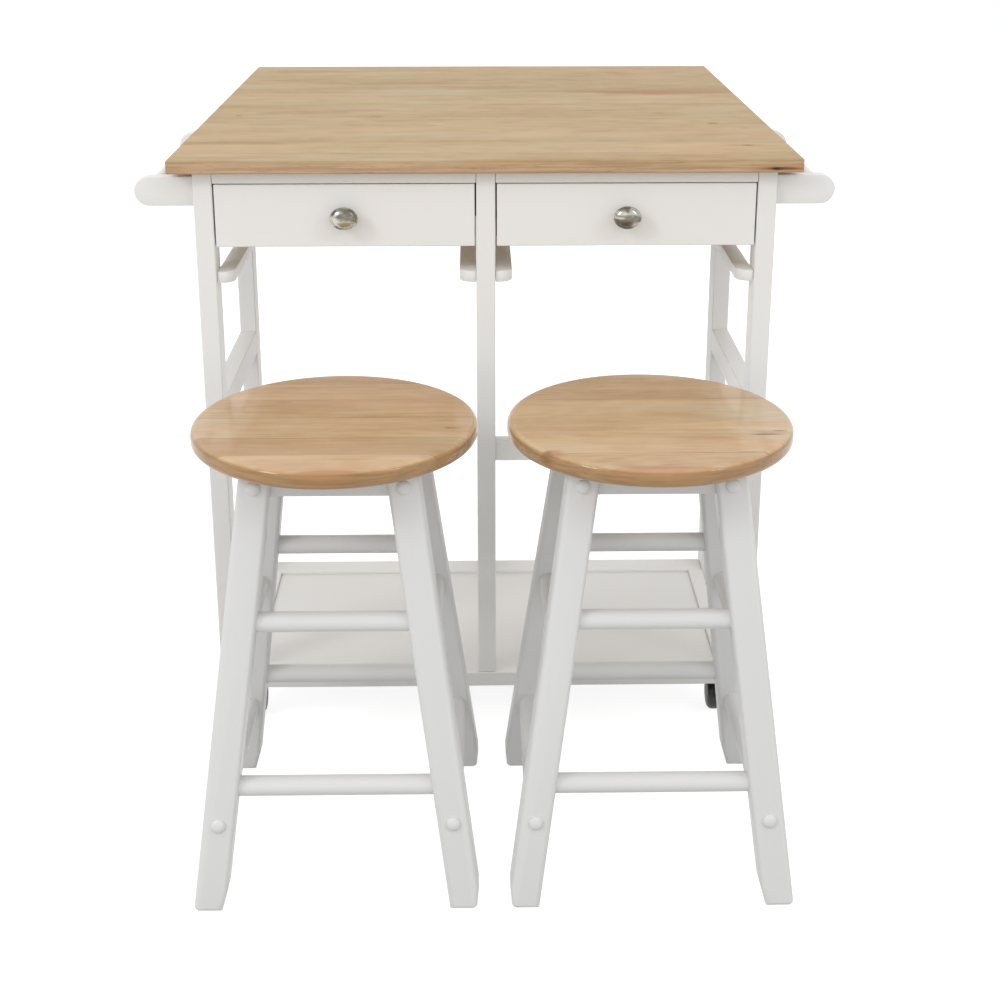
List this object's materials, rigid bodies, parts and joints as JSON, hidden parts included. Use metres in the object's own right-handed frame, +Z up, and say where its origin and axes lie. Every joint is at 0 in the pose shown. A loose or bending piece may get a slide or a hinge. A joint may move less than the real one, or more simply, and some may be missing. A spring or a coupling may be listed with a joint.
{
  "type": "drop leaf kitchen island",
  "caption": "Drop leaf kitchen island on braked casters, with drawers, towel rails, a bottom shelf and round splay-legged stools.",
  "frame": {"origin": "on the floor, under the middle of the set's bounding box, with the leaf raised and the stools in front", "axes": "+X along the worktop to the right as seen from the drawers, +Y from the drawers to the drop leaf, +Z up"},
  "size_m": [0.916, 1.322, 0.83],
  "materials": {
    "worktop_wood": "oiled beech, satin",
    "seat_wood": "lacquered beech, satin",
    "white_paint": "white painted wood, satin",
    "plywood": "bare plywood, matt",
    "brushed_nickel": "brushed nickel",
    "plated_steel": "zinc plated, satin",
    "black_plastic": "black, satin"
  },
  "bodies": {
    "frame": {"fixed_top": "worktop_wood", "leaf_hinge_fixed_left": "plated_steel", "leaf_hinge_fixed_centre": "plated_steel", "leaf_hinge_fixed_right": "plated_steel", "leg_front_left": "white_paint", "leg_front_centre": "white_paint", "leg_front_right": "white_paint", "leg_rear_left": "white_paint", "leg_rear_centre": "white_paint", "leg_rear_right": "white_paint", "front_rail_left": "white_paint", "side_stretcher_left": "white_paint", "side_apron_left": "white_paint", "stool_runner_inner_left": "white_paint", "stool_runner_outer_left": "white_paint", "towel_rail_left": "white_paint", "front_rail_right": "white_paint", "side_stretcher_right": "white_paint", "side_apron_right": "white_paint", "stool_runner_inner_right": "white_paint", "stool_runner_outer_right": "white_paint", "towel_rail_right": "white_paint", "rear_apron": "white_paint", "drawer_divider": "white_paint", "shelf_frame": "white_paint", "shelf_panel": "white_paint", "gate_hinge_fixed_lower": "plated_steel", "gate_hinge_fixed_upper": "plated_steel"},
    "leaf": {"drop_leaf": "worktop_wood", "leaf_hinge_moving_left": "plated_steel", "leaf_hinge_moving_centre": "plated_steel", "leaf_hinge_moving_right": "plated_steel"},
    "gate": {"gate_frame": "white_paint", "gate_hinge_moving_lower": "plated_steel", "gate_hinge_moving_upper": "plated_steel"},
    "drawer_left": {"drawer_front_left": "white_paint", "drawer_box_left": "plywood", "drawer_bottom_left": "plywood", "knob_left": "brushed_nickel"},
    "drawer_right": {"drawer_front_right": "white_paint", "drawer_box_right": "plywood", "drawer_bottom_right": "plywood", "knob_right": "brushed_nickel"},
    "caster_front_left": {"caster_hood_front_left": "black_plastic"},
    "wheels_front_left": {"caster_wheels_front_left": "black_plastic"},
    "brake_front_left": {"brake_lever_front_left": "black_plastic"},
    "caster_front_right": {"caster_hood_front_right": "black_plastic"},
    "wheels_front_right": {"caster_wheels_front_right": "black_plastic"},
    "brake_front_right": {"brake_lever_front_right": "black_plastic"},
    "caster_rear_left": {"caster_hood_rear_left": "black_plastic"},
    "wheels_rear_left": {"caster_wheels_rear_left": "black_plastic"},
    "caster_rear_right": {"caster_hood_rear_right": "black_plastic"},
    "wheels_rear_right": {"caster_wheels_rear_right": "black_plastic"},
    "caster_gate": {"caster_hood_gate": "black_plastic"},
    "wheels_gate": {"caster_wheels_gate": "black_plastic"},
    "brake_gate": {"brake_lever_gate": "black_plastic"},
    "stool_left": {"stool_seat_left": "seat_wood", "stool_base_left": "white_paint"},
    "stool_right": {"stool_seat_right": "seat_wood", "stool_base_right": "white_paint"}
  },
  "joints": [
    {"name": "leaf_hinge", "type": "hinge", "parent": "frame", "child": "leaf", "pos_m": [0, 0.17074, 0.8087], "axis": [1, 0, 0], "range_deg": [-90, 0]},
    {"name": "gate_hinge", "type": "hinge", "parent": "frame", "child": "gate", "pos_m": [-0.0095, 0.13574, 0.525], "axis": [0, 0, 1], "range_deg": [0, 90]},
    {"name": "drawer_left_slide", "type": "slide", "parent": "frame", "child": "drawer_left", "axis": [0, -1, 0], "range_m": [0, 0.22]},
    {"name": "drawer_right_slide", "type": "slide", "parent": "frame", "child": "drawer_right", "axis": [0, -1, 0], "range_m": [0, 0.22]},
    {"name": "caster_front_left_swivel", "type": "hinge", "parent": "frame", "child": "caster_front_left", "pos_m": [-0.344, -0.21956, 0.062], "axis": [0, 0, 1], "continuous": true},
    {"name": "wheels_front_left_spin", "type": "hinge", "parent": "caster_front_left", "child": "wheels_front_left", "pos_m": [-0.344, -0.19756, 0.025], "axis": [1, 0, 0], "continuous": true},
    {"name": "brake_front_left_lever", "type": "hinge", "parent": "caster_front_left", "child": "brake_front_left", "pos_m": [-0.344, -0.17305, 0.04557], "axis": [1, 0, 0], "range_deg": [-18, 0]},
    {"name": "caster_front_right_swivel", "type": "hinge", "parent": "frame", "child": "caster_front_right", "pos_m": [0.344, -0.21956, 0.062], "axis": [0, 0, 1], "continuous": true},
    {"name": "wheels_front_right_spin", "type": "hinge", "parent": "caster_front_right", "child": "wheels_front_right", "pos_m": [0.344, -0.19756, 0.025], "axis": [1, 0, 0], "continuous": true},
    {"name": "brake_front_right_lever", "type": "hinge", "parent": "caster_front_right", "child": "brake_front_right", "pos_m": [0.344, -0.17305, 0.04557], "axis": [1, 0, 0], "range_deg": [-18, 0]},
    {"name": "caster_rear_left_swivel", "type": "hinge", "parent": "frame", "child": "caster_rear_left", "pos_m": [-0.344, 0.07244, 0.062], "axis": [0, 0, 1], "continuous": true},
    {"name": "wheels_rear_left_spin", "type": "hinge", "parent": "caster_rear_left", "child": "wheels_rear_left", "pos_m": [-0.344, 0.05044, 0.025], "axis": [1, 0, 0], "continuous": true},
    {"name": "caster_rear_right_swivel", "type": "hinge", "parent": "frame", "child": "caster_rear_right", "pos_m": [0.344, 0.07244, 0.062], "axis": [0, 0, 1], "continuous": true},
    {"name": "wheels_rear_right_spin", "type": "hinge", "parent": "caster_rear_right", "child": "wheels_rear_right", "pos_m": [0.344, 0.05044, 0.025], "axis": [1, 0, 0], "continuous": true},
    {"name": "caster_gate_swivel", "type": "hinge", "parent": "gate", "child": "caster_gate", "pos_m": [0.371, 0.15004, 0.062], "axis": [0, 0, 1], "continuous": true},
    {"name": "wheels_gate_spin", "type": "hinge", "parent": "caster_gate", "child": "wheels_gate", "pos_m": [0.371, 0.17204, 0.025], "axis": [1, 0, 0], "continuous": true},
    {"name": "brake_gate_lever", "type": "hinge", "parent": "caster_gate", "child": "brake_gate", "pos_m": [0.371, 0.19655, 0.04557], "axis": [1, 0, 0], "range_deg": [-18, 0]},
    {"name": "stool_left_slide", "type": "slide", "parent": "frame", "child": "stool_left", "axis": [0, -1, 0], "range_m": [0, 0.3]},
    {"name": "stool_right_slide", "type": "slide", "parent": "frame", "child": "stool_right", "axis": [0, -1, 0], "range_m": [0, 0.3]}
  ]
}
